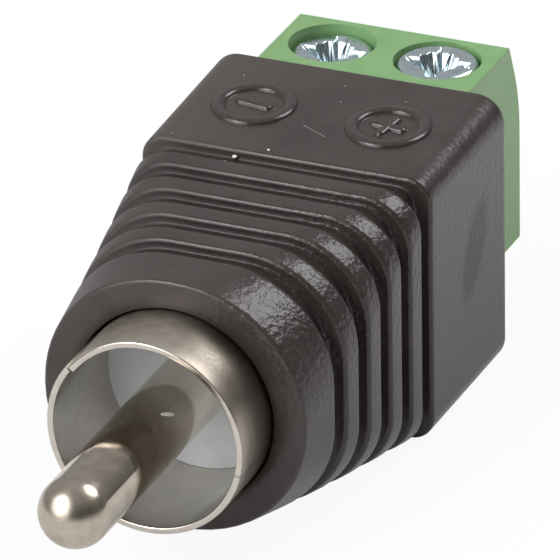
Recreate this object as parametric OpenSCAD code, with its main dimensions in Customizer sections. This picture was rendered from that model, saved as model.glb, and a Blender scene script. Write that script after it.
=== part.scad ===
// Phono plug with a two-way screw terminal block.
// The plug points along -Y, the screws face +Z, and the flat underside lies on Z = 0.

/* [Housing] */
// Width of the block at its back face
housing_w = 14.0; // [13.6:0.1:14.6]
// Height of the block at its back face
housing_h = 13.15; // [13.05:0.05:13.6]
// Length of the rectangular block
block_len = 8.44; // [8.2:0.02:8.8]
// Width lost on the block's sides towards the grip
block_side_draft = 0.2; // [0.1:0.02:0.5]
// Height lost on the block's top towards the grip
block_top_draft = 0.375; // [0.2:0.025:0.45]
// Corner radius at the back face
back_corner_r = 1.3; // [1.0:0.1:1.6]
// Corner radius at the block's front
front_corner_r = 1.15; // [0.8:0.05:1.5]
// Distance from the back face to the nose face
nose_y = 20.9; // [20.7:0.1:21.4]
// Width of the nose
nose_w = 12.25; // [12.0:0.05:12.8]
// Height of the nose
nose_h = 11.9; // [11.6:0.1:12.3]
// Corner radius of the nose outline
nose_corner_r = 5.9; // [5.2:0.05:6.0]
// Rounding of the nose's front edge
nose_edge_r = 0.15; // [0.1:0.05:0.5]

/* [Grip] */
// Corner radius where the grip starts at the block
grip_corner_r = 1.6; // [1.2:0.1:2.4]
// Number of grooves around the grip
groove_n = 5; // [4:1:5]
// Distance from one groove to the next
groove_pitch = 2.25; // [2.1:0.05:2.3]
// Width of a groove
groove_w = 0.73; // [0.5:0.01:0.9]
// Depth of a groove
groove_d = 0.5; // [0.3:0.05:0.6]

/* [Polarity marks] */
// Distance between the two marks
mark_spacing = 6.4; // [6.0:0.1:6.8]
// Distance of the marks from the back face
mark_y = 4.35; // [4.0:0.05:4.6]
// Outer radius of a mark's ring
mark_r = 1.95; // [1.6:0.05:2.0]
// Width of the raised ring
mark_ring_w = 0.55; // [0.4:0.05:0.7]
// Length of a bar
mark_bar_l = 1.7; // [1.4:0.1:1.8]
// Width of a bar
mark_bar_w = 0.42; // [0.3:0.02:0.5]
// Height of the marks over the top face
mark_h = 0.2; // [0.1:0.02:0.3]

/* [Plug contacts] */
// Outer diameter of the shield ring
ring_d = 9.2; // [9.0:0.05:9.3]
// Wall of the shield ring
ring_wall = 0.3; // [0.25:0.05:0.4]
// Reach of the ring beyond the nose
ring_reach = 3.2; // [3.0:0.1:3.6]
// Width of the ring's slits
slit_w = 0.12; // [0.1:0.02:0.2]
// Length of the slits from the rim
slit_l = 5.0; // [4.0:0.2:5.4]
// Angles of the slits around the plug axis
slit_angles = [142, -13];
// Diameter of the centre pin
pin_d = 3.2; // [3.1:0.02:3.24]
// Reach of the pin beyond the ring's rim
pin_reach = 8.75; // [8.4:0.05:9.2]
// Depth of the insulator face below the rim
insulator_depth = 5.85; // [5.4:0.05:6.0]

/* [Terminal block] */
// Distance between the two poles
pitch = 5.08; // [5.0:0.02:5.1]
// Height of the block's top
block_top = 12.88; // [12.85:0.01:12.95]
// Height of the block's underside
block_low = 2.94; // [2.8:0.02:3.0]
// Reach of the block behind the housing
block_reach = 6.57; // [6.5:0.01:6.7]
// Reach of the top's back edge, where the slope starts
slope_start = 5.36; // [5.3:0.02:5.6]
// Angle of the slope from upright
slope_angle = 22.3; // [18:0.1:26]
// Share of the slope that its rounding into the back takes
slope_round = 0.511; // [0.3:0.001:0.6]
// Distance of the screw holes from the housing
screw_y = 3.03; // [3.0:0.01:3.1]
// Diameter of the screw holes
well_d = 4.0; // [3.9:0.02:4.06]
// Width of a wire entry
entry_w = 3.0; // [2.6:0.1:3.2]
// Height of a wire entry
entry_h = 3.5; // [3.0:0.1:3.6]

/* [Screws] */
// Diameter of a screw head
head_d = 3.7; // [3.6:0.02:3.76]
// Height of a screw head
head_h = 1.4; // [1.2:0.1:1.4]
// Depth of the minus screw's head below the block's top
sink_minus = 0.67; // [0.5:0.01:0.7]
// Depth of the plus screw's head below the block's top
sink_plus = 0.35; // [0.3:0.01:0.7]
// Outer diameter of the thread
thread_d = 2.5; // [2.4:0.02:2.56]
// Length of the cross recess
drive_l = 2.1; // [1.8:0.1:2.4]
// Width of the cross recess
drive_w = 0.55; // [0.4:0.05:0.7]
// Depth of the cross recess
drive_d = 1.0; // [0.6:0.1:1.0]
// Turn of the minus screw's cross
turn_minus = 5; // [0:1:90]
// Turn of the plus screw's cross
turn_plus = 7; // [0:1:90]
// Radial clearance of what turns or slides in a hole
run_gap = 0.05; // [0.02:0.01:0.08]

/* [Hidden] */
$fn = 64;
// Gap between pieces that are pressed or glued together
seat_gap = 0.02;
// Thickness of the slices that a body is drawn through
slice = 0.02;
// Overrun of a cut past a face
over = 0.5;
// Height of the plug axis
axis_z = housing_h / 2;
// Distance from the housing's back face to the pin's tip
tip_y = nose_y + ring_reach + pin_reach;
// Position of the housing's back face, with the origin under the middle
back_y = (tip_y - block_reach) / 2;
front_h = housing_h - block_top_draft;
front_half_w = housing_w / 2 - block_side_draft / 2;
nose_low = axis_z - nose_h / 2;
nose_r = min(nose_corner_r, nose_h / 2, nose_w / 2);
top_angle = atan(block_top_draft / block_len);
rim_y = nose_y + ring_reach;
ring_r = ring_d / 2;
ring_in_r = ring_r - ring_wall;
pin_r = pin_d / 2;
ring_back_y = 12.5;
flange_t = 0.5;
flange_hole_r = 2.6;
insulator_y = rim_y - insulator_depth;
shank_r = 1.0;
cup_r = 1.3;
cup_hole_r = 0.55;
cup_depth = 1.6;
cup_y = 9.2;
tag_t = 0.4;
boss_y = ring_back_y - tag_t;
tag_r = 3.8;
tag_w = 1.6;
tag_lap = 1.6;
cavity_r = 4.0;
lead_r = 0.45;
lead_end_gap = 0.2;
lead_y = 8.4;
pocket_depth = 3.0;
tongue_w = 9.4;
tongue_low = 3.3;
tongue_top = 12.2;
butt_gap = 0.1;
chamber_w = 3.7;
clamp_t = 0.8;
chamber_floor_t = 0.66;
chamber_low = block_low + chamber_floor_t;
chamber_roof_t = 3.48;
chamber_top = block_top - chamber_roof_t;
chamber_back_t = 1.07;
chamber_back = block_reach - chamber_back_t;
entry_low = chamber_low + clamp_t;
funnel = 0.4;
clamp_w = chamber_w - 2 * seat_gap;
clamp_back_gap = 0.1;
clamp_back = chamber_back - clamp_back_gap;
clamp_front = 0.4;
clamp_plate_t = 1.2;
clamp_top_gap = 0.2;
clamp_plate_top = chamber_top - clamp_top_gap;
tail_w = 1.0;
tail_t = 0.8;
tail_y = 7.5;
shank_l = 4.0;
plate_t = 0.45;
plate_w = 3.2;
plate_l = 3.4;
spigot_r = 0.7;
rivet_r = 1.0;
rivet_t = 0.2;
slope_r = slope_round * (block_reach - slope_start) / sin(slope_angle) / tan(slope_angle / 2);
slope_z = block_top - (block_reach - slope_start) / tan(slope_angle) - slope_r * tan(slope_angle / 2);
slope_steps = 8;

// Places a body drawn from the housing's back face
module placed() {
    translate([0, back_y, 0]) {
        children();
    }
}

// A round bar along the plug axis, from one distance behind the tip side to another
module bar(r, y_front, y_back) {
    translate([0, -y_back, axis_z]) {
        rotate([90, 0, 0]) {
            cylinder(r = r, h = y_front - y_back);
        }
    }
}

// The corner rods of one rounded outline of the housing
module outline(y, half_w, low, high, r) {
    for (x = [-half_w + r, half_w - r]) {
        for (z = [low + r, high - r]) {
            translate([x, -y, z]) {
                rotate([90, 0, 0]) {
                    cylinder(r = r, h = slice, center = true, $fn = 48);
                }
            }
        }
    }
}

// The nose's outline, pulled in by a rounding of its edge
module nose_outline(inset, back, deeper) {
    outline(nose_y - slice / 2 - back, nose_w / 2 - inset - deeper, nose_low + inset + deeper,
            nose_low + nose_h - inset - deeper, nose_r - inset - deeper);
}

module block_form() {
    hull() {
        outline(slice / 2, housing_w / 2, 0, housing_h, back_corner_r);
        outline(block_len - slice / 2, front_half_w, 0, front_h, front_corner_r);
    }
}

// The grip's outer form, before the grooves
module grip_form() {
    hull() {
        outline(block_len - slice, front_half_w, 0, front_h, grip_corner_r);
        for (a = [0, 30, 60, 90]) {
            nose_outline(nose_edge_r * (1 - cos(a)), nose_edge_r * (1 - sin(a)), 0);
        }
    }
}

// The floor of the grooves
module grip_core() {
    hull() {
        outline(block_len - slice, front_half_w - groove_d, groove_d, front_h - groove_d,
                grip_corner_r - groove_d);
        nose_outline(0, nose_edge_r + slice, groove_d);
    }
}

// The slabs that keep the ribs and the nose
module rib_slabs() {
    for (i = [1 : groove_n]) {
        rib_back = block_len + groove_w + (i - 1) * groove_pitch;
        rib_front = i == groove_n ? nose_y + over : block_len + i * groove_pitch;
        translate([-housing_w, -rib_front, -over]) {
            cube([2 * housing_w, rib_front - rib_back, housing_h + 2 * over]);
        }
    }
}

module mark_bar() {
    translate([-mark_bar_l / 2, -mark_bar_w / 2, -mark_h]) {
        cube([mark_bar_l, mark_bar_w, 2 * mark_h]);
    }
}

// A raised ring with one bar, or with two for plus
module mark(x, plus) {
    translate([x, -mark_y, housing_h - block_top_draft * mark_y / block_len]) {
        rotate([top_angle, 0, 0]) {
            difference() {
                translate([0, 0, -mark_h]) {
                    cylinder(r = mark_r, h = 2 * mark_h);
                }
                translate([0, 0, -2 * mark_h]) {
                    cylinder(r = mark_r - mark_ring_w, h = 4 * mark_h);
                }
            }
            mark_bar();
            if (plus) {
                rotate([0, 0, 90]) {
                    mark_bar();
                }
            }
        }
    }
}

module housing() {
    color("#2e2c2b") placed() {
        difference() {
            union() {
                block_form();
                grip_core();
                intersection() {
                    grip_form();
                    rib_slabs();
                }
                mark(-mark_spacing / 2, false);
                mark(mark_spacing / 2, true);
            }
            bar(ring_r + seat_gap, nose_y + over, ring_back_y);
            bar(cavity_r, ring_back_y + over, pocket_depth - over);
            translate([-tongue_w / 2 - seat_gap, -pocket_depth, tongue_low - seat_gap]) {
                cube([tongue_w + 2 * seat_gap, pocket_depth + over, tongue_top - tongue_low + 2 * seat_gap]);
            }
        }
    }
}

// Half section of the ring, with the radius along X and the distance from the back end along Y
module ring_profile() {
    translate([ring_in_r, 0]) {
        square([ring_wall, rim_y - ring_back_y - ring_wall / 2]);
    }
    translate([ring_in_r + ring_wall / 2, rim_y - ring_back_y - ring_wall / 2]) {
        circle(d = ring_wall, $fn = 32);
    }
    translate([flange_hole_r, 0]) {
        square([ring_r - flange_hole_r, flange_t]);
    }
}

module shield_ring() {
    color("#cfc9c0") placed() {
        difference() {
            translate([0, -ring_back_y, axis_z]) {
                rotate([90, 0, 0]) {
                    rotate_extrude() {
                        ring_profile();
                    }
                }
            }
            for (a = slit_angles) {
                translate([0, -rim_y + slit_l, axis_z]) {
                    rotate([0, -a, 0]) {
                        translate([ring_in_r - over, -slit_l - over, -slit_w / 2]) {
                            cube([ring_wall + 2 * over, slit_l + over, slit_w]);
                        }
                    }
                }
            }
        }
    }
}

module insulator() {
    color("#d9dde0") placed() {
        difference() {
            union() {
                bar(ring_in_r - seat_gap, insulator_y, ring_back_y + flange_t);
                bar(flange_hole_r - seat_gap, insulator_y, boss_y);
            }
            bar(shank_r + seat_gap, insulator_y + over, boss_y - over);
        }
    }
}

module centre_pin() {
    color("#cfc9c0") placed() {
        difference() {
            union() {
                bar(pin_r, tip_y - pin_r, insulator_y);
                translate([0, -tip_y + pin_r, axis_z]) {
                    sphere(r = pin_r);
                }
                bar(shank_r, insulator_y + over, boss_y - over);
                bar(cup_r, boss_y, cup_y);
            }
            bar(cup_hole_r, cup_y + cup_depth, cup_y - over);
        }
    }
}

// A washer behind the ring's flange, with a tail that lies on the minus bracket's tail
module ground_tag() {
    color("#c8c6bd") placed() {
        difference() {
            union() {
                bar(tag_r, ring_back_y, boss_y);
                translate([-pitch / 2 - tag_w / 2, -ring_back_y, axis_z + tail_t / 2]) {
                    cube([tag_w, ring_back_y - tail_y + tag_lap, tag_t]);
                }
            }
            bar(flange_hole_r, ring_back_y + over, boss_y);
        }
    }
}

module lead_joint(x) {
    translate([x, -lead_y, axis_z]) {
        sphere(r = lead_r);
    }
}

// A bent wire from the pin's cup to the end of the plus bracket's tail
module signal_lead() {
    color("#c9c2b4") placed() {
        bar(lead_r, cup_y + cup_depth - lead_end_gap, lead_y);
        lead_joint(0);
        translate([0, -lead_y, axis_z]) {
            rotate([0, 90, 0]) {
                cylinder(r = lead_r, h = pitch / 2);
            }
        }
        lead_joint(pitch / 2);
        translate([pitch / 2, 0, 0]) {
            bar(lead_r, lead_y, tail_y);
        }
    }
}

module wire_entry(x) {
    translate([x - entry_w / 2, chamber_back - over, entry_low]) {
        cube([entry_w, block_reach - chamber_back + 2 * over, entry_h]);
    }
    hull() {
        translate([x - entry_w / 2, block_reach - funnel, entry_low]) {
            cube([entry_w, slice, entry_h]);
        }
        translate([x - entry_w / 2 - funnel, block_reach + slice, entry_low - funnel]) {
            cube([entry_w + 2 * funnel, slice, entry_h + 2 * funnel]);
        }
    }
}

// Side outline of the block, with the distance behind the housing along X and the height along Y
module block_profile() {
    slope = [for (i = [0 : slope_steps])
        let (a = slope_angle * i / slope_steps)
        [block_reach - slope_r + slope_r * cos(a), slope_z + slope_r * sin(a)]];
    polygon(concat([[butt_gap, block_low], [block_reach, block_low]], slope,
                   [[slope_start, block_top], [butt_gap, block_top]]));
}

module terminal_block() {
    color("#5fae63") placed() {
        difference() {
            union() {
                translate([-pitch, 0, 0]) {
                    rotate([90, 0, 90]) {
                        linear_extrude(height = 2 * pitch) {
                            block_profile();
                        }
                    }
                }
                translate([-tongue_w / 2, -pocket_depth, tongue_low]) {
                    cube([tongue_w, pocket_depth + over, tongue_top - tongue_low]);
                }
            }
            for (x = [-pitch / 2, pitch / 2]) {
                translate([x - chamber_w / 2, -pocket_depth - over, chamber_low]) {
                    cube([chamber_w, pocket_depth + over + chamber_back, chamber_top - chamber_low]);
                }
                translate([x, screw_y, chamber_top - over]) {
                    cylinder(d = well_d, h = block_top - chamber_top + 2 * over);
                }
                wire_entry(x);
            }
        }
    }
}

// A bent bracket, open to the back, with the screw's hole above and a tail to the front
module clamp(x) {
    color("#c9b36a") placed() {
        difference() {
            union() {
                translate([x - clamp_w / 2, clamp_front, chamber_low]) {
                    cube([clamp_w, clamp_back - clamp_front, clamp_t]);
                    cube([clamp_w, clamp_t, clamp_plate_top - chamber_low]);
                }
                translate([x - clamp_w / 2, clamp_front, clamp_plate_top - clamp_plate_t]) {
                    cube([clamp_w, clamp_back - clamp_front, clamp_plate_t]);
                }
                translate([x - tail_w / 2, -tail_y, axis_z - tail_t / 2]) {
                    cube([tail_w, tail_y + clamp_front + clamp_t, tail_t]);
                }
            }
            translate([x, screw_y, clamp_plate_top - clamp_plate_t - over]) {
                cylinder(d = thread_d + 2 * run_gap, h = clamp_plate_t + 2 * over);
            }
        }
    }
}

module clamp_minus() {
    clamp(-pitch / 2);
}

module clamp_plus() {
    clamp(pitch / 2);
}

// Height of the shoulder at a screw's end
function tip_z(sink) = block_top - sink - head_h - shank_l;

module plate(x, sink) {
    color("#c9b36a") placed() {
        translate([x, screw_y, tip_z(sink) - plate_t]) {
            difference() {
                translate([-plate_w / 2, -plate_l / 2, 0]) {
                    cube([plate_w, plate_l, plate_t]);
                }
                translate([0, 0, -over]) {
                    cylinder(r = spigot_r + run_gap, h = plate_t + 2 * over);
                }
            }
        }
    }
}

module plate_minus() {
    plate(-pitch / 2, sink_minus);
}

module plate_plus() {
    plate(pitch / 2, sink_plus);
}

// A clamping screw with a cross recess in its head and a riveted end under the plate
module screw(x, sink, turn) {
    color("#c4c9cf") placed() {
        translate([x, screw_y, tip_z(sink)]) {
            difference() {
                union() {
                    translate([0, 0, shank_l]) {
                        cylinder(d = head_d, h = head_h);
                    }
                    cylinder(d = thread_d, h = shank_l + over);
                    translate([0, 0, -plate_t - rivet_t]) {
                        cylinder(r = spigot_r, h = plate_t + rivet_t + over);
                        cylinder(r = rivet_r, h = rivet_t);
                    }
                }
                for (a = [turn, turn + 90]) {
                    rotate([0, 0, a]) {
                        translate([-drive_l / 2, -drive_w / 2, shank_l + head_h - drive_d]) {
                            cube([drive_l, drive_w, drive_d + over]);
                        }
                    }
                }
            }
        }
    }
}

module screw_minus() {
    screw(-pitch / 2, sink_minus, turn_minus);
}

module screw_plus() {
    screw(pitch / 2, sink_plus, turn_plus);
}

housing();
shield_ring();
insulator();
centre_pin();
ground_tag();
signal_lead();
terminal_block();
clamp_minus();
clamp_plus();
plate_minus();
plate_plus();
screw_minus();
screw_plus();
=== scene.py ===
import bmesh
import bpy
import math
from mathutils import Matrix, Vector


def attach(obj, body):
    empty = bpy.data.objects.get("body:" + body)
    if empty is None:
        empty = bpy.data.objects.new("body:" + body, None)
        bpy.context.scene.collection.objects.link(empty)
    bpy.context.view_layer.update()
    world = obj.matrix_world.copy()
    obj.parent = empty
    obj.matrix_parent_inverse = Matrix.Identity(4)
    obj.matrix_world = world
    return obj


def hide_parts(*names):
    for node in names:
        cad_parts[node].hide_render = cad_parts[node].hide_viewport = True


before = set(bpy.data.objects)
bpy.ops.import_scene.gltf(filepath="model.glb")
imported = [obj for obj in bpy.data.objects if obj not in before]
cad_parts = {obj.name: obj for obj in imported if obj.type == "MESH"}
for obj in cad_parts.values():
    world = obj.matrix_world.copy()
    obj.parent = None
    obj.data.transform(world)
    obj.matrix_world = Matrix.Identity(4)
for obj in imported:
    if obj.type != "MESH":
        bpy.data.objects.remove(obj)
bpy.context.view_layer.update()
print("frame loaded:", len(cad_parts), "solids")

scene = bpy.context.scene
scene.view_settings.view_transform = "Standard"
mm = 0.001
backFace = 13.14  # the housing's back face along y, mm; the shapes below count y from it
axisHeight = 6.575  # the plug's axis above the table, mm
cornerSteps, flatSteps = 14, 14  # points round each corner and along each flat of the housing


# small helpers

def linear(hexText):
    out = []
    for i in (0, 2, 4):
        c = int(hexText[i:i + 2], 16) / 255
        out.append(c / 12.92 if c <= 0.04045 else ((c + 0.055) / 1.055) ** 2.4)
    return (*out, 1.0)


def perMm(size):
    return 1 / (size * mm)  # texture scale that gives features of this size in mm


def inMetres(sizes):
    return [size * mm for size in sizes]


def mainOut(source):  # a socket, or a node's first socket in use
    if isinstance(source, bpy.types.NodeSocket):
        return source
    return next(out for out in source.outputs if out.enabled)


def addNode(tree, kind, settings=None, links=None):
    node = tree.nodes.new("ShaderNode" + kind)
    for key, value in (settings or {}).items():
        if key == "stops":  # a ramp's places and colours
            for stop, (at, hexText) in zip(node.color_ramp.elements, value):
                stop.position, stop.color = at, linear(hexText)
        elif isinstance(key, int) or key in node.inputs:
            node.inputs[key].default_value = value
        else:
            setattr(node, key, value)
    for key, source in (links or {}).items():
        tree.links.new(mainOut(source), node.inputs[key])
    return node


def newMaterial(name, settings):
    material = bpy.data.materials.new(name)
    material.use_nodes = True
    tree = material.node_tree
    shader = tree.nodes["Principled BSDF"]
    for key, value in settings.items():
        shader.inputs[key].default_value = value
    place = addNode(tree, "TexCoord").outputs["Object"]
    return material, tree, shader, place


def joinFinish(tree, shader, tone, gloss, relief):
    for key, source in (("Base Color", tone), ("Roughness", gloss), ("Normal", relief)):
        tree.links.new(mainOut(source), shader.inputs[key])


def cloudyFinish(name, settings, size, detail, dark, pale, rough, high, strength):
    material, tree, shader, place = newMaterial(name, settings)
    cloud = addNode(tree, "TexNoise", {"Scale": perMm(size), "Detail": detail}, {"Vector": place})
    tone = addNode(tree, "ValToRGB", {"stops": ((0.3, dark), (0.7, pale))}, {"Fac": cloud})
    gloss = addNode(tree, "MapRange", {"To Min": rough[0], "To Max": rough[1]}, {"Value": cloud})
    relief = addNode(tree, "Bump", {"Distance": high * mm, "Strength": strength}, {"Height": cloud})
    joinFinish(tree, shader, tone, gloss, relief)
    return material


def smooth(a, b, v):
    t = min(max((v - a) / (b - a), 0), 1)
    return t * t * (3 - 2 * t)


def newShape():
    return {"points": [], "faces": []}


def addRows(shape, rows, closed=True, capStart=False, capEnd=False):
    start, n = len(shape["points"]), len(rows[0])
    for row in rows:
        shape["points"].extend(row)
    for r in range(len(rows) - 1):
        for i in range(n if closed else n - 1):
            a, b = start + r * n + i, start + r * n + (i + 1) % n
            shape["faces"].append((a, b, b + n, a + n))
    if capStart:
        shape["faces"].append(tuple(range(start, start + n)))
    if capEnd:
        shape["faces"].append(tuple(range(start + (len(rows) - 1) * n, start + len(rows) * n)))


def addPiece(name, shape, material, body, sharp=50, origin=(0, 0, 0)):
    mesh = bpy.data.meshes.new(name)
    points = [((x + origin[0]) * mm, (y + origin[1] + backFace) * mm, (z + origin[2]) * mm)
              for x, y, z in shape["points"]]
    mesh.from_pydata(points, [], shape["faces"])
    bm = bmesh.new()
    bm.from_mesh(mesh)
    bmesh.ops.remove_doubles(bm, verts=bm.verts, dist=1e-8)
    bmesh.ops.recalc_face_normals(bm, faces=bm.faces)
    bm.to_mesh(mesh)
    bm.free()
    mesh.polygons.foreach_set("use_smooth", [True] * len(mesh.polygons))
    mesh.set_sharp_from_angle(angle=math.radians(sharp))
    piece = bpy.data.objects.new(name, mesh)
    scene.collection.objects.link(piece)
    mesh.materials.append(material)
    even = piece.modifiers.new("evenNormals", "WEIGHTED_NORMAL")
    even.keep_sharp = True
    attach(piece, body)
    return piece


def arc(cx, cy, r, start, end, steps):
    out = []
    for i in range(steps + 1):
        a = math.radians(start + (end - start) * i / steps)
        out.append((cx + r * math.cos(a), cy + r * math.sin(a)))
    return out


def turnedAlongPlug(profile, steps, start=0.0, end=360.0):  # profile pairs are radius and y
    count = steps if end - start >= 360 else steps + 1
    angles = [math.radians(start + (end - start) * i / steps) for i in range(count)]
    return [[(r * math.cos(a), y, axisHeight + r * math.sin(a)) for a in angles] for r, y in profile]


def circle(steps):
    return [2 * math.pi * i / steps for i in range(steps)]


def turnedUpright(profile, steps):  # profile pairs are radius and z
    return [[(r * math.cos(a), r * math.sin(a), z) for a in circle(steps)] for r, z in profile]


def boxOutline(halfWide, low, high, r):  # clockwise from the top's right end
    spots = [(halfWide - r, high - r, 90), (halfWide - r, low + r, 0),
             (-halfWide + r, low + r, -90), (-halfWide + r, high - r, -180)]
    out = []
    for k, (cx, cz, a) in enumerate(spots):
        out += arc(cx, cz, r, a, a - 90, cornerSteps)
        x, z = out[-1]
        nx, nz, na = spots[(k + 1) % 4]
        reachX, reachZ = nx + r * math.cos(math.radians(na)), nz + r * math.sin(math.radians(na))
        for i in range(1, flatSteps):
            t = i / flatSteps
            out.append((x + (reachX - x) * t, z + (reachZ - z) * t))
    return out


# finishes; sizes in mm, places in mm in the frame

# ABS, moulded in a spark-eroded tool: near-black, a fine wrinkle that breaks up wide highlights
blackPlastic = {
    "flow": 3.0, "dark": "332d2b", "pale": "3c3533", "rough": (0.21, 0.33),
    "leftX": (-1.0, -5.0), "leftRough": 0.22,  # duller on the left
    "dustAndSheenX": (-0.5, -5.0), "dustAndSheenY": (3.8, 5.2), "dustAndSheenShare": 0.75, "dustAndSheenTone": "49423f",  # dust there too, and a painted sheen: paler on the block's left
    "darkBandAt": (6.95, 9.6, 7.3), "darkBandHalf": (1.2, 1.15, 2.4), "darkBandTurn": -27,  # a darker, less shiny diagonal band on the right side
    "darkBandEdge": (1.15, 0.75), "darkBandShare": 0.8, "darkBandTone": "252120", "darkBandShine": -0.28,
    "nook": 0.7, "nookClear": (0.3, 0.9), "paintedShadeTone": "231f1d", "shine": (0.14, 0.5),  # painted shade: darker and less shiny in grooves and recesses
    "wrinkle": 0.3, "wrinkleHigh": 0.065,
    "wrinkleFades": (("X", 1.2, 4.2, 0.25), ("Y", 5.2, 3.8, 0.4), ("Z", 6.0, 9.0, 0.3)),
}
b = blackPlastic
absMoulded, tree, shader, place = newMaterial("absMouldedSparkEroded", {"IOR": 1.46, "Roughness": 0.3})
spot = addNode(tree, "SeparateXYZ", None, {"Vector": place})
flow = addNode(tree, "TexNoise", {"Scale": perMm(b["flow"]), "Detail": 3.0, "Distortion": 0.6},
               {"Vector": place})
tone = addNode(tree, "ValToRGB", {"stops": ((0.35, b["dark"]), (0.65, b["pale"]))}, {"Fac": flow})
# a darker, less shiny diagonal band on the right side
spread = addNode(tree, "Mapping", {"vector_type": "TEXTURE", "Location": inMetres(b["darkBandAt"]),
                                   "Rotation": (math.radians(b["darkBandTurn"]), 0.0, 0.0),
                                   "Scale": inMetres(b["darkBandHalf"])}, {"Vector": place})
far = addNode(tree, "VectorMath", {"operation": "LENGTH"}, {0: spread})
dull = addNode(tree, "MapRange", {"From Min": b["darkBandEdge"][0], "From Max": b["darkBandEdge"][1],
                                  "To Max": b["darkBandShare"]}, {"Value": far})
tone = addNode(tree, "Mix", {"data_type": "RGBA", 7: linear(b["darkBandTone"])}, {0: dull, 6: tone})
# dust and a painted sheen: the block turns paler towards its left
behind = addNode(tree, "MapRange", {"From Min": b["dustAndSheenY"][0] * mm, "From Max": b["dustAndSheenY"][1] * mm,
                                    "To Max": b["dustAndSheenShare"]}, {"Value": spot.outputs["Y"]})
dustAndSheen = addNode(tree, "MapRange", {"From Min": b["dustAndSheenX"][0] * mm, "From Max": b["dustAndSheenX"][1] * mm},
               {"Value": spot.outputs["X"]})
dustAndSheen = addNode(tree, "Math", {"operation": "MULTIPLY"}, {0: behind, 1: dustAndSheen})
tone = addNode(tree, "Mix", {"data_type": "RGBA", 7: linear(b["dustAndSheenTone"])}, {0: dustAndSheen, 6: tone})
# painted shade: ambient occlusion darkens the tone and lowers the specular level in grooves, recesses and
# round the marks
nook = addNode(tree, "AmbientOcclusion", {"samples": 8, "Distance": b["nook"] * mm})
clear = addNode(tree, "MapRange", {"From Min": b["nookClear"][0], "From Max": b["nookClear"][1]},
                {"Value": nook.outputs["AO"]})
tone = addNode(tree, "Mix", {"data_type": "RGBA", 6: linear(b["paintedShadeTone"])}, {0: clear, 7: tone})
shine = addNode(tree, "MapRange", {"To Min": b["shine"][0], "To Max": b["shine"][1]}, {"Value": clear})
shine = addNode(tree, "Math", {"operation": "MULTIPLY_ADD", 1: b["darkBandShine"]}, {0: dull, 2: shine})
tree.links.new(mainOut(shine), shader.inputs["Specular IOR Level"])
gloss = addNode(tree, "MapRange", {"To Min": b["rough"][0], "To Max": b["rough"][1]}, {"Value": flow})
left = addNode(tree, "MapRange", {"From Min": b["leftX"][0] * mm, "From Max": b["leftX"][1] * mm,
                                  "To Max": b["leftRough"]}, {"Value": spot.outputs["X"]})
gloss = addNode(tree, "Math", {"operation": "ADD"}, {0: gloss, 1: left})
depth = None
for axis, start, end, least in b["wrinkleFades"]:  # deepest on the upper right corners of the grip
    fade = addNode(tree, "MapRange", {"From Min": start * mm, "From Max": end * mm, "To Min": least},
                   {"Value": spot.outputs[axis]})
    depth = addNode(tree, "Math", {"operation": "MULTIPLY"}, {0: depth, 1: fade}) if depth else fade
wrinkle = addNode(tree, "TexNoise", {"Scale": perMm(b["wrinkle"]), "Detail": 2.0}, {"Vector": place})
relief = addNode(tree, "Bump", {"Distance": b["wrinkleHigh"] * mm}, {"Height": wrinkle, "Strength": depth})
joinFinish(tree, shader, tone, gloss, relief)

# ABS, moulded against engraved and polished steel: the same black, but clean narrow highlights
absPolished = cloudyFinish("absMouldedPolished", {"IOR": 1.5, "Roughness": 0.26}, size=0.25, detail=2.0,
                           dark="332d2b", pale="3c3533", rough=(0.14, 0.24), high=0.012, strength=0.6)

# nickel plate on turned brass, handled: warm grey mirror with faint turning lines and small dulled spots
plating = {"lathe": 0.1, "latheHigh": 0.002, "latheSpread": (0.04, 1.0, 0.04),
           "cloud": 0.6, "dark": "a99f92", "pale": "bcb2a5", "rough": (0.04, 0.12),
           "tipY": (-17.6, -18.6), "tipRough": 0.2,  # the rounded tip is rubbed dull in use
           "insideY": (-11.6, -9.8), "paintedLightInside": "dcd3c8"}  # painted light: paler within the ring, to lift its dark reflections
nickelPlate, tree, shader, place = newMaterial("nickelPlatedTurnedBrass",
                                               {"Metallic": 1.0, "Roughness": 0.1})
spot = addNode(tree, "SeparateXYZ", None, {"Vector": place})
along = addNode(tree, "Mapping", {"Scale": plating["latheSpread"]}, {"Vector": place})
lathe = addNode(tree, "TexNoise", {"Scale": perMm(plating["lathe"]), "Detail": 2.0},
                {"Vector": along})  # coarser than real turning lines, so that they show
cloud = addNode(tree, "TexNoise", {"Scale": perMm(plating["cloud"]), "Detail": 4.0}, {"Vector": place})
tone = addNode(tree, "ValToRGB", {"stops": ((0.3, plating["dark"]), (0.7, plating["pale"]))}, {"Fac": cloud})
# painted light: the pin turns paler within the ring, lifting the dark reflections there
paintedLightShare = addNode(tree, "MapRange", {"From Min": plating["insideY"][0] * mm,
                                   "From Max": plating["insideY"][1] * mm}, {"Value": spot.outputs["Y"]})
tone = addNode(tree, "Mix", {"data_type": "RGBA", 7: linear(plating["paintedLightInside"])}, {0: paintedLightShare, 6: tone})
gloss = addNode(tree, "MapRange", {"To Min": plating["rough"][0], "To Max": plating["rough"][1]},
                {"Value": cloud})
worn = addNode(tree, "MapRange", {"From Min": plating["tipY"][0] * mm, "From Max": plating["tipY"][1] * mm,
                                  "To Max": plating["tipRough"]}, {"Value": spot.outputs["Y"]})
gloss = addNode(tree, "Math", {"operation": "ADD"}, {0: gloss, 1: worn})
relief = addNode(tree, "Bump", {"Distance": plating["latheHigh"] * mm, "Strength": 0.6}, {"Height": lathe})
joinFinish(tree, shader, tone, gloss, relief)

# nickel plate on rolled strip, drawn to a ring: brighter, a soft mirror
nickelStrip = cloudyFinish("nickelPlatedDrawnStrip", {"Metallic": 1.0, "Roughness": 0.14},
                           size=0.7, detail=4.0, dark="c0b9b0", pale="ccc5bd", rough=(0.12, 0.24),
                           high=0.003, strength=0.6)

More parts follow.
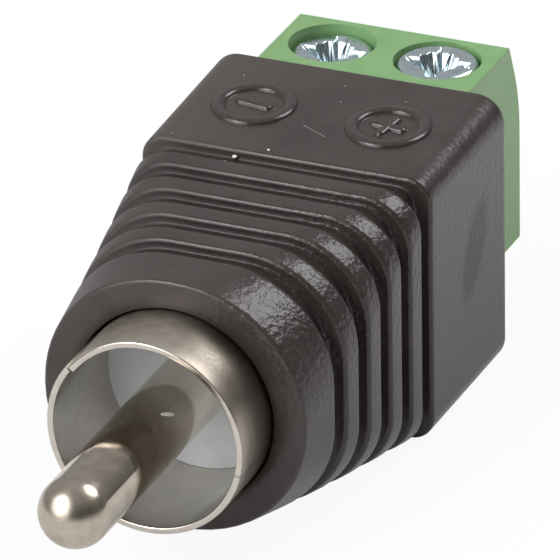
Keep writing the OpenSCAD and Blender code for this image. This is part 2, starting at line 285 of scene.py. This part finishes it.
# the same strip on its handled outside: satin, small dents, and one rubbed patch near the rim
handled = {"cloud": 0.5, "dark": "b1a99d", "pale": "c0b8ad", "rough": (0.38, 0.5),
           "rubAt": (2.75, -9.7, 10.26), "rubFade": (1.05, 0.3), "rubTone": "b9b1a7",
           "rubLine": 0.1, "rubHigh": 0.004,  # coarser than real rub lines, so that they show
           "rubTurn": (0.0, 35.0, 14.324), "rubSpread": (0.1, 1.0, 1.0), "dents": 1.3, "dentHigh": 0.01,
           "rightX": (0.3, 2.6), "shadedRightTone": "a0978c", "rightRough": -0.1}  # painted shade: darker on the right, and smoother there
h = handled
nickelWorn, tree, shader, place = newMaterial("nickelPlatedStripHandled",
                                              {"Metallic": 1.0, "Roughness": 0.28})
spot = addNode(tree, "SeparateXYZ", None, {"Vector": place})
cloud = addNode(tree, "TexNoise", {"Scale": perMm(h["cloud"]), "Detail": 5.0}, {"Vector": place})
far = addNode(tree, "VectorMath", {"operation": "DISTANCE", 1: inMetres(h["rubAt"])}, {0: place})
patch = addNode(tree, "MapRange", {"From Min": h["rubFade"][0] * mm, "From Max": h["rubFade"][1] * mm},
                {"Value": far})
skew = addNode(tree, "Mapping", {"Rotation": [math.radians(a) for a in h["rubTurn"]],
                                 "Scale": h["rubSpread"]}, {"Vector": place})
rubs = addNode(tree, "TexNoise", {"Scale": perMm(h["rubLine"]), "Detail": 2.0}, {"Vector": skew})
lines = addNode(tree, "MapRange", {"From Min": 0.42, "From Max": 0.6}, {"Value": rubs})
bright = addNode(tree, "Math", {"operation": "MULTIPLY"}, {0: patch, 1: lines})
# painted shade: the outside turns darker on the right, dimming its reflections there; the same mask makes it
# smoother
rightShadeAndGloss = addNode(tree, "MapRange", {"From Min": h["rightX"][0] * mm, "From Max": h["rightX"][1] * mm},
                {"Value": spot.outputs["X"]})
tone = addNode(tree, "ValToRGB", {"stops": ((0.3, h["dark"]), (0.7, h["pale"]))}, {"Fac": cloud})
tone = addNode(tree, "Mix", {"data_type": "RGBA", 7: linear(h["shadedRightTone"])}, {0: rightShadeAndGloss, 6: tone})
tone = addNode(tree, "Mix", {"data_type": "RGBA", 7: linear(h["rubTone"])}, {0: bright, 6: tone})
gloss = addNode(tree, "MapRange", {"To Min": h["rough"][0], "To Max": h["rough"][1]}, {"Value": cloud})
gloss = addNode(tree, "Math", {"operation": "MULTIPLY_ADD", 1: h["rightRough"]}, {0: rightShadeAndGloss, 2: gloss})
dents = addNode(tree, "TexVoronoi", {"Scale": perMm(h["dents"])}, {"Vector": place})
pits = addNode(tree, "MapRange", {"From Min": 0.02, "From Max": 0.05}, {"Value": dents})
scuffs = addNode(tree, "Bump", {"Distance": h["rubHigh"] * mm, "Strength": 0.6}, {"Height": rubs})
relief = addNode(tree, "Bump", {"Distance": h["dentHigh"] * mm, "Strength": 0.7},
                 {"Height": pits, "Normal": scuffs})
joinFinish(tree, shader, tone, gloss, relief)

# polypropylene, moulded: cool milky white, a soft sheen
milkyPlastic = cloudyFinish("polypropyleneMouldedMilky", {"IOR": 1.49, "Roughness": 0.42},
                            size=0.9, detail=3.0, dark="e6eff6", pale="f0f7fb", rough=(0.36, 0.5),
                            high=0.004, strength=0.5)

# polyamide, moulded with pigment: leaf green, satin, slightly cloudy
nylon = {"cloud": 1.6, "dark": "729a65", "pale": "7da46f", "rough": (0.34, 0.48),
         "grain": 0.14, "grainHigh": 0.005}
greenNylon, tree, shader, place = newMaterial("polyamideMouldedGreen", {"IOR": 1.53, "Roughness": 0.4})
cloud = addNode(tree, "TexNoise", {"Scale": perMm(nylon["cloud"]), "Detail": 4.0}, {"Vector": place})
grain = addNode(tree, "TexNoise", {"Scale": perMm(nylon["grain"]), "Detail": 2.0}, {"Vector": place})
tone = addNode(tree, "ValToRGB", {"stops": ((0.3, nylon["dark"]), (0.7, nylon["pale"]))}, {"Fac": cloud})
gloss = addNode(tree, "MapRange", {"To Min": nylon["rough"][0], "To Max": nylon["rough"][1]},
                {"Value": cloud})
relief = addNode(tree, "Bump", {"Distance": nylon["grainHigh"] * mm, "Strength": 0.6}, {"Height": grain})
joinFinish(tree, shader, tone, gloss, relief)

# zinc-plated steel, cold headed: pale blue-grey metal, a little uneven
zincSteel = cloudyFinish("zincPlatedHeadedSteel", {"Metallic": 1.0, "Roughness": 0.26},
                         size=0.35, detail=3.0, dark="bac9d0", pale="d0dde2", rough=(0.12, 0.24),
                         high=0.004, strength=0.5)

# tinned brass strip, stamped: soft grey metal with rolling lines
strip = {"rolled": 0.15, "rolledHigh": 0.004, "rolledSpread": (1.0, 0.05, 1.0),  # coarser than real lines
         "dark": "c2b99f", "pale": "d3ccb8", "rough": (0.28, 0.42)}
tinnedBrass, tree, shader, place = newMaterial("tinnedBrassStamped", {"Metallic": 1.0, "Roughness": 0.35})
along = addNode(tree, "Mapping", {"Scale": strip["rolledSpread"]}, {"Vector": place})
rolled = addNode(tree, "TexNoise", {"Scale": perMm(strip["rolled"]), "Detail": 2.0}, {"Vector": along})
tone = addNode(tree, "ValToRGB", {"stops": ((0.3, strip["dark"]), (0.7, strip["pale"]))}, {"Fac": rolled})
gloss = addNode(tree, "MapRange", {"To Min": strip["rough"][0], "To Max": strip["rough"][1]},
                {"Value": rolled})
relief = addNode(tree, "Bump", {"Distance": strip["rolledHigh"] * mm, "Strength": 0.5}, {"Height": rolled})
joinFinish(tree, shader, tone, gloss, relief)

# household dust, lint: pale grey, quite matt
dustLint = cloudyFinish("dustLintPale", {"Roughness": 0.85}, size=0.08, detail=2.0,
                        dark="cfcac4", pale="f5f2ee", rough=(0.75, 0.95), high=0.01, strength=0.8)
print("finishes made")

# the moulded housing: block, four ribs and the round-cornered nose; mm

housing = {
    "backHalf": 7.0, "backHigh": 13.15, "backRound": 1.3, "bodyEdge": 0.1,
    "blockFront": -8.44, "blockHalf": 6.9, "blockHigh": 12.775, "blockRound": 1.15, "gripRound": 1.6,
    "noseFront": -20.9, "noseHalf": 6.125, "noseLow": 0.625, "noseHigh": 12.48, "noseRound": 5.9,
    "noseEdge": 0.18, "fuller": 0.06, "fullerRound": 1.9, "lean": 0.16, "leanShape": 1.3, "leastRound": 0.05,
    "grooves": 5, "groovePitch": 2.21, "grooveWide": 1.35, "grooveFlat": 0.18, "grooveDeep": 0.5,
    "grooveSteps": 30, "sideWide": 1.1, "sideDeep": 0.75, "sideEdge": 0.14, "sideFade": (0.3, 0.8),
    "frontEdge": 0.2, "floorEdge": 0.07, "ribStep": 0.15,
    "bore": 4.62, "boreDeep": 8.5, "mouth": 4.64, "mouthDeep": 0.3, "mouthDrop": 0.05, "mouthEdge": 0.06,
    "pocketHalf": 4.72, "pocketLow": 3.28, "pocketHigh": 12.22, "pocketDeep": 3.0, "pocketRound": 0.1,
}


def sideShares():  # 1 on the left and right sides, 0 on the top and bottom
    turn = [smooth(*housing["sideFade"], i / cornerSteps) for i in range(cornerSteps + 1)]
    turn += [1.0] * (flatSteps - 1)
    return (turn + [1 - s for s in turn]) * 2


def housingOutline(y, inset, sideInset):
    h, lean = housing, 0.0
    if y >= h["blockFront"]:
        t = y / h["blockFront"]
        wide = h["backHalf"] + (h["blockHalf"] - h["backHalf"]) * t
        low, high = 0.0, h["backHigh"] + (h["blockHigh"] - h["backHigh"]) * t
        r = h["backRound"] + (h["blockRound"] - h["backRound"]) * t
    else:
        t = (y - h["blockFront"]) / (h["noseFront"] - h["blockFront"])
        lean = h["lean"] * math.sin(math.pi * t ** h["leanShape"])  # the grip sits a touch to the right
        belly = h["fuller"] * math.sin(math.pi * t)  # and its sides run a little full
        wide = h["blockHalf"] + (h["noseHalf"] - h["blockHalf"]) * t + belly
        low, high = h["noseLow"] * t, h["blockHigh"] + (h["noseHigh"] - h["blockHigh"]) * t
        r = h["gripRound"] + (h["noseRound"] - h["gripRound"]) * t + h["fullerRound"] * belly * (1 - t)
        r = min(r, (high - low) / 2, wide)
    flat, side = (boxOutline(wide - cut, low + cut, high - cut, max(r - cut, h["leastRound"]))
                  for cut in (inset, sideInset))
    return [(a + (c - a) * s + lean, y, b + (d - b) * s)
            for (a, b), (c, d), s in zip(flat, side, sideShares())]


def edgeToBack(y, r, steps):  # from a face that looks back, round onto the outside
    turns = [math.pi / 2 * i / steps for i in range(steps + 1)]
    return [(y - r * (1 - math.cos(a)), r * (1 - math.sin(a)), r * (1 - math.sin(a))) for a in turns]


def edgeToFront(y, r, steps):  # from the outside, round onto a face that looks forward
    turns = [math.pi / 2 * i / steps for i in range(steps + 1)]
    return [(y + r * (1 - math.sin(a)), r * (1 - math.cos(a)), r * (1 - math.cos(a))) for a in turns]


def housingRows():
    h = housing
    pocket = boxOutline(h["pocketHalf"], h["pocketLow"], h["pocketHigh"], h["pocketRound"])
    rows = [[(x, -h["pocketDeep"], z) for x, z in pocket], [(x, 0.0, z) for x, z in pocket]]
    path = edgeToBack(0.0, h["bodyEdge"], 4)  # y, inset at the top and bottom, inset at the sides
    path += [(h["blockFront"] * t, 0.0, 0.0) for t in (0.04, 0.25, 0.5, 0.75, 0.94)]
    deep, sideDeep, r = h["grooveDeep"], h["sideDeep"], h["floorEdge"]
    for k in range(h["grooves"]):
        front = h["blockFront"] - k * h["groovePitch"]
        path += edgeToFront(front, h["frontEdge"], 8)
        path += [(front - r * t, deep - r * (1 - t), sideDeep - r * (1 - t)) for t in (0.0, 0.3, 1.0)]
        for i in range(h["grooveSteps"] + 1):  # a soft ramp on the top, a square groove on the sides
            run = h["grooveFlat"] + (h["grooveWide"] - h["grooveFlat"]) * i / h["grooveSteps"]
            path.append((front - run, deep * (1 - smooth(h["grooveFlat"], h["grooveWide"], run)),
                         sideDeep * (1 - smooth(h["sideWide"] - h["sideEdge"], h["sideWide"], run))))
        path.append((front - h["grooveWide"] - h["ribStep"], 0.0, 0.0))
    last = h["blockFront"] - (h["grooves"] - 1) * h["groovePitch"] - h["grooveWide"]
    path += [(last + (h["noseFront"] - last) * t, 0.0, 0.0) for t in (0.25, 0.5, 0.75, 0.9)]
    path += edgeToFront(h["noseFront"], h["noseEdge"], 6)
    rows += [housingOutline(*step) for step in path]
    rim, middle = rows[-1], axisHeight - h["mouthDrop"]
    mouth, bore, edge, deep = h["mouth"], h["bore"], h["mouthEdge"], h["mouthDeep"]
    for t, r, y in ((0.5, mouth, 0.0), (1.0, mouth + edge, 0.0), (1.0, mouth + edge / 3, edge / 3),
                    (1.0, mouth, edge), (1.0, mouth, deep), (1.0, bore, deep), (1.0, bore, h["boreDeep"])):
        row = []  # the nose face draws in to the round mouth
        for x, rimY, z in rim:
            s = 1 + (r / math.hypot(x, z - middle) - 1) * t
            row.append((x * s, h["noseFront"] + y, middle + (z - middle) * s))
        rows.append(row)
    return rows + rows[:1]  # the bore opens into the pocket


shell = newShape()
addRows(shell, housingRows())
housingPiece = addPiece("housingShell", shell, absMoulded, "plug", sharp=60)
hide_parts("housing")
print("housing made:", len(shell["points"]), "points")

# the raised plus and minus, each in its ring; mm, degrees

marks = {"spacing": 6.4, "along": -4.35, "ringR": 1.62, "ringHalf": 0.3, "barLong": 1.85, "barHalf": 0.24,
         "high": 0.2, "dip": 0.003, "turn": -9, "middle": 0.01, "patch": 2.03, "root": 0.15,
         "rings": 80, "spokes": 200}


def ridge(far, half):  # a half-round raised line
    return math.sqrt(max(1 - (far / half) ** 2, 0))


def addMark(shape, x, plus):
    m, fall = marks, housing["backHigh"] - housing["blockHigh"]
    slope = math.atan(fall / -housing["blockFront"])
    top = housing["backHigh"] - fall * m["along"] / housing["blockFront"]
    seat = Matrix.Translation((x, m["along"], top)) @ Matrix.Rotation(slope, 4, "X")
    seat = seat @ Matrix.Rotation(math.radians(m["turn"]), 4, "Z")
    reach = m["barLong"] / 2 - m["barHalf"]
    rows = []
    for i in range(m["rings"] + 1):
        r = m["middle"] + (m["patch"] - m["middle"]) * i / m["rings"]
        row = []
        for a in circle(m["spokes"]):
            u, v = r * math.cos(a), r * math.sin(a)
            high = max(ridge(abs(r - m["ringR"]), m["ringHalf"]),
                       ridge(math.hypot(max(abs(u) - reach, 0), v), m["barHalf"]))
            if plus:
                high = max(high, ridge(math.hypot(max(abs(v) - reach, 0), u), m["barHalf"]))
            row.append(tuple(seat @ Vector((u, v, m["high"] * high - m["dip"]))))
        rows.append(row)
    rows.append([(px, py, pz - m["root"]) for px, py, pz in rows[-1]])
    addRows(shape, rows, capStart=True, capEnd=True)


signs = newShape()
addMark(signs, -marks["spacing"] / 2, False)
addMark(signs, marks["spacing"] / 2, True)
addPiece("polarityMarks", signs, absPolished, "plug", sharp=60)
print("marks made")

# the slit shield ring; mm, degrees

shieldRing = {"outer": 4.55, "inner": 4.25, "drop": 0.05, "rim": -24.1, "slitEnd": -19.1,
              "between": (-20.5, -22.0, -23.3), "back": -12.5, "flange": 0.5, "flangeHole": 2.6, "edge": 0.07, "skin": 0.22,
              "slits": (142.0, -13.0), "slitWide": (0.1, 0.04), "bend": 0.12, "bendFrom": 95.0}


def bentRows(rows):  # one side of the upper slit was pushed in
    g = shieldRing
    bent = []
    for row in rows:
        out = []
        for x, y, z in row:
            a = math.degrees(math.atan2(z - axisHeight, x))
            near = smooth(g["bendFrom"], g["slits"][0], a) if a <= g["slits"][0] else 0.0
            free = (g["slitEnd"] - y) / (g["slitEnd"] - g["rim"])
            s = 1 - g["bend"] * near * free / math.hypot(x, z - axisHeight)
            out.append((x * s, y, axisHeight + (z - axisHeight) * s))
        bent.append(out)
    return bent


g = shieldRing
outer, inner, edge = g["outer"], g["inner"], g["edge"]
front = [(outer, g["slitEnd"])] + [(outer, y) for y in g["between"]]
front += arc(outer - edge, g["rim"] + edge, edge, 0, -90, 5)
front += arc(inner + edge, g["rim"] + edge, edge, -90, -180, 5)
front += [(inner, y) for y in reversed(g["between"])] + [(inner, g["slitEnd"])]
high, low = g["slits"]
upper, lower = (math.degrees(wide / 2 / outer) for wide in g["slitWide"])
ringShape = newShape()
for start, end in ((low + lower, high - upper), (high + upper, low + 360 - lower)):
    rows = bentRows(turnedAlongPlug(front, 90, start, end))
    addRows(ringShape, rows + rows[:1], closed=False)
    for side in (0, -1):  # the cut faces beside a slit
        first = len(ringShape["points"])
        ringShape["faces"].append(tuple(range(first, first + len(rows))))
        ringShape["points"].extend(row[side] for row in rows)
rear = [(outer, g["slitEnd"]), (outer, g["back"]), (g["flangeHole"], g["back"]),
        (g["flangeHole"], g["back"] - g["flange"]), (inner, g["back"] - g["flange"]), (inner, g["slitEnd"])]
addRows(ringShape, turnedAlongPlug(rear + rear[:1], 180))
ringShape["points"] = [(x, y, z - g["drop"]) for x, y, z in ringShape["points"]]
ringPiece = addPiece("shieldRingDrawn", ringShape, nickelStrip, "plug", sharp=40)
ringPiece.data.materials.append(nickelWorn)
for face in ringPiece.data.polygons:  # the outside is the handled side
    far = math.hypot(face.center.x, face.center.z - (axisHeight - g["drop"]) * mm)
    if far > (outer - g["skin"]) * mm and abs(face.normal.y) < 0.5:
        face.material_index = 1
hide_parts("shield_ring")
print("ring made")

# the centre pin and the insulator it stands in; mm

centrePin = {"r": 1.6, "base": -18.25, "chamfer": 0.05, "ballAt": -31.25, "tip": 0.996, "shank": 1.0,
             "cup": 1.3, "cupFrom": -12.1, "cupTo": -9.2, "cupHole": 0.55, "cupDeep": 1.6}
p = centrePin
cupFloor = p["cupTo"] - p["cupDeep"]
profile = [(0.0, cupFloor), (p["cupHole"], cupFloor), (p["cupHole"], p["cupTo"]), (p["cup"], p["cupTo"]),
           (p["cup"], p["cupFrom"]), (p["shank"], p["cupFrom"]), (p["shank"], p["base"]),
           (p["r"] - p["chamfer"], p["base"]), (p["r"], p["base"] - p["chamfer"])]
profile += [(p["r"], p["base"] - p["chamfer"] + (p["ballAt"] - p["base"]) * t)
            for t in (0.2, 0.4, 0.6, 0.8, 0.98)]
profile += [(r, p["ballAt"] + (y - p["ballAt"]) * p["tip"])
            for r, y in arc(0, p["ballAt"], p["r"], 0, -90, 28)]
pinShape = newShape()
addRows(pinShape, turnedAlongPlug(profile, 96))
pinPiece = addPiece("centrePinTurned", pinShape, nickelPlate, "plug", sharp=40)
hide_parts("centre_pin")

insulator = {"r": 4.3, "face": -18.25, "back": -13.0, "boss": 2.58, "bossTo": -12.1, "bore": 1.02,
             "edge": 0.04, "land": 0.1, "rings": (3.4, 2.2)}
n = insulator
profile = [(n["bore"], n["bossTo"]), (n["boss"], n["bossTo"]), (n["boss"], n["back"]), (n["r"], n["back"]),
           (n["r"], n["face"] + n["edge"] + n["land"])]
profile += arc(n["r"] - n["edge"], n["face"] + n["edge"], n["edge"], 0, -90, 5)
profile += [(r, n["face"]) for r in n["rings"]] + [(n["bore"], n["face"]), (n["bore"], n["bossTo"])]
insulatorShape = newShape()
addRows(insulatorShape, turnedAlongPlug(profile, 128))
insulatorPiece = addPiece("insulatorMoulded", insulatorShape, milkyPlastic, "plug",
                          sharp=40)
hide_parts("insulator")
print("pin and insulator made")

# the screws of the terminal block, with a tapered cross recess and a cut thread; mm, degrees

screws = {
    "screw_minus": {"at": (-2.54, 3.03, 12.49), "turn": 5},
    "screw_plus": {"at": (2.54, 3.03, 12.81), "turn": 7},
}
screwForm = {
    "head": 1.85, "headHigh": 1.68, "edge": 0.25, "shank": 1.25, "shankLong": 4.0,
    "pitch": 0.45, "thread": 0.18, "lead": 0.15,
    "spigot": 0.7, "spigotLong": 0.45, "rivet": 1.0, "rivetLong": 0.2,
    "armReach": 1.5, "armHalf": 0.27, "endSlope": 50, "wallSlope": 76, "armBlend": 0.3,
    "crossDeep": 1.0, "floorBlend": 0.2,
    "cone": 1.0, "coneSlope": 62, "coneBlend": 0.07, "flutes": 12, "fluteDeep": 0.06,
    "rings": 120, "spokes": 360, "middle": 0.005,
}


def softMax(a, b, blend):  # the larger of two depths, with the crease between them rounded
    near = max(blend - abs(a - b), 0) / blend
    return max(a, b) + near * near * blend / 4


def headTop(x, y):
    f = screwForm
    far = math.hypot(x, y)
    rim = max(far - (f["head"] - f["edge"]), 0)
    deep = f["edge"] - math.sqrt(max(f["edge"] ** 2 - rim ** 2, 0))
    end, wall, cone = (math.tan(math.radians(f[k])) for k in ("endSlope", "wallSlope", "coneSlope"))
    for along, across in ((x, y), (y, x)):  # each arm of the cross slopes up at its ends and its sides
        ends, sides = (abs(along) - f["armReach"]) * end, (abs(across) - f["armHalf"]) * wall
        rise = softMax(ends, sides, f["armBlend"])
        deep = softMax(deep, -softMax(rise, -f["crossDeep"], f["floorBlend"]), f["armBlend"])
    reach = f["cone"] + f["fluteDeep"] * math.cos(f["flutes"] * math.atan2(y, x))  # fluted walls
    return -softMax(deep, -softMax((far - reach) * cone, -f["crossDeep"], f["floorBlend"]), f["coneBlend"])


def screwShape():
    f = screwForm
    low = -f["headHigh"] - f["shankLong"]
    foot = low - f["spigotLong"]
    root = f["shank"] - f["thread"]
    profile = [(f["head"], headTop(f["head"], 0)), (f["head"], -f["headHigh"]), (f["shank"], -f["headHigh"])]
    for k in range(int((f["shankLong"] - 2 * f["lead"]) / f["pitch"])):  # each ridge of the thread
        z = -f["headHigh"] - f["lead"] - k * f["pitch"]
        profile += [(r, z - t * f["pitch"])
                    for r, t in ((root, 0), (root, 0.1), (f["shank"], 0.5), (f["shank"], 0.6))]
    profile += [(root, low), (f["spigot"], low), (f["spigot"], foot), (f["rivet"], foot),
                (f["rivet"], foot - f["rivetLong"]), (0.0, foot - f["rivetLong"])]
    shape = newShape()
    addRows(shape, turnedUpright(profile, f["spokes"]))
    rows = []
    for i in range(f["rings"] + 1):  # the top with its cross recess, as a fine net
        r = max(f["head"] * i / f["rings"], f["middle"])
        spots = [(r * math.cos(a), r * math.sin(a)) for a in circle(f["spokes"])]
        rows.append([(x, y, headTop(x, y)) for x, y in spots])
    addRows(shape, rows, capStart=True)
    return shape


for name, at in screws.items():
    shape = screwShape()
    c, s = math.cos(math.radians(at["turn"])), math.sin(math.radians(at["turn"]))
    shape["points"] = [(x * c - y * s, x * s + y * c, z) for x, y, z in shape["points"]]
    piece = addPiece(name + "Headed", shape, zincSteel, name, sharp=35, origin=at["at"])
    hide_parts(name)
print("screws made")

# the pieces that keep their drawn solids get their finish and eased edges; mm

eased = {
    "terminal_block": (greenNylon, 0.1),
    "clamp_minus": (tinnedBrass, 0.06), "clamp_plus": (tinnedBrass, 0.06),
    "plate_minus": (tinnedBrass, 0.05), "plate_plus": (tinnedBrass, 0.05),
    "ground_tag": (tinnedBrass, 0.04), "signal_lead": (tinnedBrass, 0.0),
}
for name, (finish, ease) in eased.items():
    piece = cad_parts[name]
    piece.data.materials.clear()
    piece.data.materials.append(finish)
    weld = piece.modifiers.new("joined", "WELD")
    weld.merge_threshold = 1e-7
    if ease:
        bevel = piece.modifiers.new("easedEdges", "BEVEL")
        bevel.width, bevel.segments, bevel.limit_method = ease * mm, 3, "ANGLE"
        bevel.angle_limit = math.radians(40)
        even = piece.modifiers.new("evenNormals", "WEIGHTED_NORMAL")
        even.keep_sharp = True
print("solids dressed")

# the dust: two bright flecks, small specks and a fibre on the housing, a pale sliver on the pin; mm, degrees

dust = {
    "flecks": ((-0.957, -8.02, 12.8, 0.07), (-2.352, -8.54, 12.46, 0.12)),
    "specks": ((0.316, -2.809, 13.025), (3.029, -1.849, 13.068), (-5.586, -7.984, 12.795),
               (-4.729, -1.922, 13.065), (-0.1, -1.348, 13.09), (-2.205, -4.4, 12.954),
               (3.28, -3.45, 13.0), (4.13, -4.37, 13.0), (-2.35, -9.608, 12.73)),
    "speckR": 0.026, "flatY": 0.8, "flatZ": 0.6, "fleckTilts": (-1.2, -0.6, 0.0, 0.6, 1.2), "fleckSides": 10,
    "fibre": ((-0.433, -5.366, 12.912), (0.242, -5.722, 12.896), (0.915, -6.077, 12.88)),
    "fibreR": 0.004, "fibreSides": 6,
    "sliverAt": (40.5, -23.88), "sliverLong": (0.225, 0.36), "sliverWide": (-0.085, 0.053),
    "sliverRise": ((1.0, -0.01), (0.97, 0.006), (0.6, 0.012)), "sliverSides": 20,
}
lint = newShape()
for x, y, z, r in list(dust["flecks"]) + [(*speck, dust["speckR"]) for speck in dust["specks"]]:
    rows = []
    for tilt in dust["fleckTilts"]:
        level, wide, deep = z + dust["flatZ"] * r * math.sin(tilt), r * math.cos(tilt), dust["flatY"] * r
        rows.append([(x + wide * math.cos(a), y + deep * math.cos(tilt) * math.sin(a), level)
                     for a in circle(dust["fleckSides"])])
    addRows(lint, rows, capStart=True, capEnd=True)
fibre, up = [Vector(point) for point in dust["fibre"]], Vector((0, 0, 1))
for start, end in zip(fibre, fibre[1:]):
    across = (end - start).cross(up).normalized()
    spokes = [dust["fibreR"] * (across * math.cos(a) + up * math.sin(a)) for a in circle(dust["fibreSides"])]
    rows = [[tuple(middle + spoke) for spoke in spokes] for middle in (start, end)]
    addRows(lint, rows, capStart=True, capEnd=True)
rows = []
for share, rise in dust["sliverRise"]:
    row = []
    for turn in circle(dust["sliverSides"]):
        c, s = share * math.cos(turn), share * math.sin(turn)
        around, along = (u * c + v * s for u, v in zip(dust["sliverLong"], dust["sliverWide"]))
        a, r = math.radians(dust["sliverAt"][0]) + around / centrePin["r"], centrePin["r"] + rise
        row.append((r * math.sin(a), dust["sliverAt"][1] + along, axisHeight + r * math.cos(a)))
    rows.append(row)
addRows(lint, rows, capStart=True, capEnd=True)
addPiece("dustLint", lint, dustLint, "plug")
print("dust laid")

# table, lights and camera; metres and watts, the camera's place in mm

studio = {
    "floorHalf": 3.0, "floorTone": "e4e4e4", "floorGlow": 0.93, "floorMirror": 0.3,
    "sky": 0.15, "skyUp": 0.33, "skyBack": 0.15, "skyLeft": 0.15, "skyLeast": 0.1,
    "keyFrom": (-0.45, -0.7, 0.555), "keyFar": 0.6, "keySize": 0.66, "keyPower": 2.7,
    "coreFrom": (-0.406, -0.579, 0.707), "coreFar": 0.58, "coreSize": 0.2, "corePower": 1.1,
    "lowFrom": (-0.25, -0.93, 0.27), "lowFar": 0.6, "lowSize": 0.4, "lowPower": 0.38,
    "fillFrom": (0.438, 0.522, 0.731), "fillFar": 0.6, "fillSize": 0.34, "fillPower": 1.75,
}

# matt white card: evenly white to the eye, with the plug's own soft shadow
whiteCard, tree, shader, place = newMaterial("cardMattWhite", {"Roughness": 0.9})
shader.inputs["Base Color"].default_value = linear(studio["floorTone"])
rays = addNode(tree, "LightPath")
shiny = addNode(tree, "Math", {"operation": "MAXIMUM"},
                {0: rays.outputs["Is Glossy Ray"], 1: rays.outputs["Is Transmission Ray"]})
shiny = addNode(tree, "Math", {"operation": "MULTIPLY", 1: studio["floorMirror"]}, {0: shiny})
seen = addNode(tree, "Math", {"operation": "MULTIPLY", 1: studio["floorGlow"]},
               {0: rays.outputs["Is Camera Ray"]})
share = addNode(tree, "Math", {"operation": "MAXIMUM"}, {0: seen, 1: shiny})
glow = addNode(tree, "Emission", {"Strength": 1.0})
mixed = addNode(tree, "MixShader", None, {0: share, 1: shader, 2: glow})
tree.links.new(mainOut(mixed), tree.nodes["Material Output"].inputs["Surface"])
half = studio["floorHalf"]
floorMesh = bpy.data.meshes.new("cardFloor")
floorCorners = [(-half, -half, 0), (half, -half, 0), (half, half, 0), (-half, half, 0)]
floorMesh.from_pydata(floorCorners, [], [(0, 1, 2, 3)])
floorMesh.materials.append(whiteCard)
floor = bpy.data.objects.new("cardFloor", floorMesh)
scene.collection.objects.link(floor)

# the room: a soft grey that is lighter above, behind and on the left
world = bpy.data.worlds.new("studioRoom")
scene.world = world
world.use_nodes = True
tree = world.node_tree
parts = addNode(tree, "SeparateXYZ", None, {"Vector": addNode(tree, "TexCoord").outputs["Generated"]})
level = addNode(tree, "Math", {"operation": "MULTIPLY_ADD", 1: studio["skyUp"], 2: studio["sky"]},
                {0: parts.outputs["Z"]})
for axis, gain in (("Y", studio["skyBack"]), ("X", -studio["skyLeft"])):
    level = addNode(tree, "Math", {"operation": "MULTIPLY_ADD", 1: gain}, {0: parts.outputs[axis], 2: level})
level = addNode(tree, "Math", {"operation": "MAXIMUM", 1: studio["skyLeast"]}, {0: level})
tree.links.new(mainOut(level), tree.nodes["Background"].inputs["Color"])

for name in ("key", "core", "low", "fill"):
    lamp = bpy.data.lights.new(name + "Softbox", "AREA")
    lamp.shape = "DISK"
    lamp.size = studio[name + "Size"]
    lamp.energy = studio[name + "Power"]
    light = bpy.data.objects.new(name + "Softbox", lamp)
    way = Vector(studio[name + "From"]).normalized()
    light.location = way * studio[name + "Far"] + Vector((0, 0, axisHeight * mm))
    light.rotation_euler = way.to_track_quat("Z", "Y").to_euler()
    light.visible_camera = False
    scene.collection.objects.link(light)

eye = {"at": (142.60, -325.99, 187.20), "right": (0.92072, 0.38996, -0.01420),
       "up": (-0.16309, 0.41761, 0.89387), "ahead": (-0.35450, 0.82070, -0.44809),
       "lens": 588.03, "sensor": 36.0, "shift": (-0.003214, 0.003625), "near": 0.01, "far": 20.0}
camera = bpy.data.cameras.new("photoEye")
camera.lens, camera.sensor_width = eye["lens"], eye["sensor"]
camera.shift_x, camera.shift_y = eye["shift"]
camera.clip_start, camera.clip_end = eye["near"], eye["far"]
viewer = bpy.data.objects.new("photoEye", camera)
scene.collection.objects.link(viewer)
turn = Matrix((Vector(eye["right"]), Vector(eye["up"]), -Vector(eye["ahead"]))).transposed().to_4x4()
viewer.matrix_world = Matrix.Translation(Vector(eye["at"]) * mm) @ turn
scene.camera = viewer
print("studio set")
